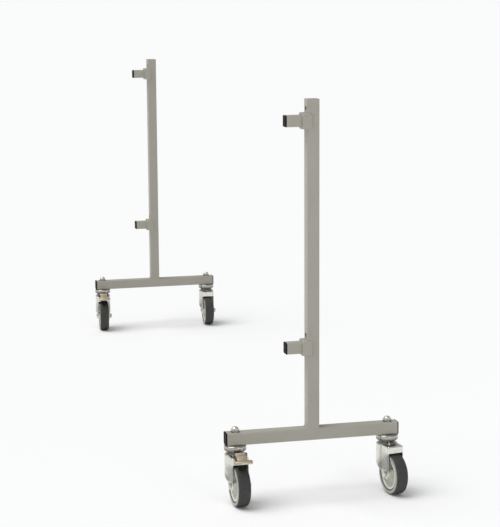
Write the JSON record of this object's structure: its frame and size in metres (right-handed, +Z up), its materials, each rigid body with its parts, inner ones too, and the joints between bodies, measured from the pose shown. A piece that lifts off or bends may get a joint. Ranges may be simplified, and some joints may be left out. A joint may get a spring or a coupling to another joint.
{
  "type": "bed transport dolly",
  "caption": "Wheeled inverted-T end frames of square tube with plug-in spigots that carry a bed between them, on swivel castors with foot brakes.",
  "frame": {"origin": "on the floor, under the middle of the pair of frames", "axes": "+Z up; X along the base tubes, with the spigots pointing to -X; +Y from the front frame to the rear frame"},
  "size_m": [0.4449, 2.2136, 0.96],
  "materials": {
    "frame_paint": "satin powder coat",
    "zinc_steel": "bright zinc plate",
    "yellow_zinc": "yellow zinc plate",
    "tyre_rubber": "matt dark grey rubber",
    "wheel_plastic": "light grey moulding",
    "black_plastic": "matt black moulding"
  },
  "bodies": {
    "front_frame": {"front_base_tube": "frame_paint", "front_base_end_caps": "black_plastic", "front_upright_tube": "frame_paint", "front_upright_cap": "frame_paint", "front_upper_spigot": "frame_paint", "front_lower_spigot": "frame_paint", "front_spigot_collars": "frame_paint", "front_spigot_end_caps": "black_plastic", "front_castor_bolts": "zinc_steel", "front_castor_dome_nuts": "zinc_steel", "front_castor_washers": "zinc_steel", "front_castor_top_races": "zinc_steel"},
    "rear_frame": {"rear_base_tube": "frame_paint", "rear_base_end_caps": "black_plastic", "rear_upright_tube": "frame_paint", "rear_upright_cap": "frame_paint", "rear_upper_spigot": "frame_paint", "rear_lower_spigot": "frame_paint", "rear_spigot_collars": "frame_paint", "rear_spigot_end_caps": "black_plastic", "rear_castor_bolts": "zinc_steel", "rear_castor_dome_nuts": "zinc_steel", "rear_castor_washers": "zinc_steel", "rear_castor_top_races": "zinc_steel"},
    "front_left_swivel_fork": {"front_left_fork": "zinc_steel", "front_left_swivel_balls": "zinc_steel", "front_left_axle_bolt": "zinc_steel", "front_left_axle_nut": "zinc_steel", "front_left_axle_sleeve": "zinc_steel", "front_left_pedal_pin": "zinc_steel"},
    "front_left_wheel": {"front_left_wheel_core": "wheel_plastic", "front_left_tyre": "tyre_rubber"},
    "front_left_brake": {"front_left_brake_pedal": "yellow_zinc", "front_left_brake_shoe": "black_plastic"},
    "front_right_swivel_fork": {"front_right_fork": "zinc_steel", "front_right_swivel_balls": "zinc_steel", "front_right_axle_bolt": "zinc_steel", "front_right_axle_nut": "zinc_steel", "front_right_axle_sleeve": "zinc_steel"},
    "front_right_wheel": {"front_right_wheel_core": "wheel_plastic", "front_right_tyre": "tyre_rubber"},
    "rear_left_swivel_fork": {"rear_left_fork": "zinc_steel", "rear_left_swivel_balls": "zinc_steel", "rear_left_axle_bolt": "zinc_steel", "rear_left_axle_nut": "zinc_steel", "rear_left_axle_sleeve": "zinc_steel", "rear_left_pedal_pin": "zinc_steel"},
    "rear_left_wheel": {"rear_left_wheel_core": "wheel_plastic", "rear_left_tyre": "tyre_rubber"},
    "rear_left_brake": {"rear_left_brake_pedal": "yellow_zinc", "rear_left_brake_shoe": "black_plastic"},
    "rear_right_swivel_fork": {"rear_right_fork": "zinc_steel", "rear_right_swivel_balls": "zinc_steel", "rear_right_axle_bolt": "zinc_steel", "rear_right_axle_nut": "zinc_steel", "rear_right_axle_sleeve": "zinc_steel"},
    "rear_right_wheel": {"rear_right_wheel_core": "wheel_plastic", "rear_right_tyre": "tyre_rubber"}
  },
  "joints": [
    {"name": "rear_frame_slide", "type": "slide", "parent": "front_frame", "child": "rear_frame", "axis": [0, 1, 0], "range_m": [-0.2, 0.15]},
    {"name": "front_left_swivel", "type": "hinge", "parent": "front_frame", "child": "front_left_swivel_fork", "pos_m": [-0.19, -1.0205, 0.12], "axis": [0, 0, 1], "continuous": true},
    {"name": "front_left_wheel_spin", "type": "hinge", "parent": "front_left_swivel_fork", "child": "front_left_wheel", "pos_m": [-0.18843, -1.05647, 0.05], "axis": [0.999, 0.0436, 0], "continuous": true},
    {"name": "front_left_brake_press", "type": "hinge", "parent": "front_left_swivel_fork", "child": "front_left_brake", "pos_m": [-0.18821, -1.06146, 0.1265], "axis": [0.999, 0.0436, 0], "range_deg": [0, 8.5]},
    {"name": "front_right_swivel", "type": "hinge", "parent": "front_frame", "child": "front_right_swivel_fork", "pos_m": [0.19, -1.0205, 0.12], "axis": [0, 0, 1], "continuous": true},
    {"name": "front_right_wheel_spin", "type": "hinge", "parent": "front_right_swivel_fork", "child": "front_right_wheel", "pos_m": [0.19563, -1.05606, 0.05], "axis": [0.9877, 0.1564, 0], "continuous": true},
    {"name": "rear_left_swivel", "type": "hinge", "parent": "rear_frame", "child": "rear_left_swivel_fork", "pos_m": [-0.19, 1.0795, 0.12], "axis": [0, 0, 1], "continuous": true},
    {"name": "rear_left_wheel_spin", "type": "hinge", "parent": "rear_left_swivel_fork", "child": "rear_left_wheel", "pos_m": [-0.19314, 1.04364, 0.05], "axis": [0.9962, -0.0872, 0], "continuous": true},
    {"name": "rear_left_brake_press", "type": "hinge", "parent": "rear_left_swivel_fork", "child": "rear_left_brake", "pos_m": [-0.19357, 1.03866, 0.1265], "axis": [0.9962, -0.0872, 0], "range_deg": [0, 8.5]},
    {"name": "rear_right_swivel", "type": "hinge", "parent": "rear_frame", "child": "rear_right_swivel_fork", "pos_m": [0.19, 1.0795, 0.12], "axis": [0, 0, 1], "continuous": true},
    {"name": "rear_right_wheel_spin", "type": "hinge", "parent": "rear_right_swivel_fork", "child": "rear_right_wheel", "pos_m": [0.18812, 1.04355, 0.05], "axis": [0.9986, -0.0523, 0], "continuous": true}
  ]
}
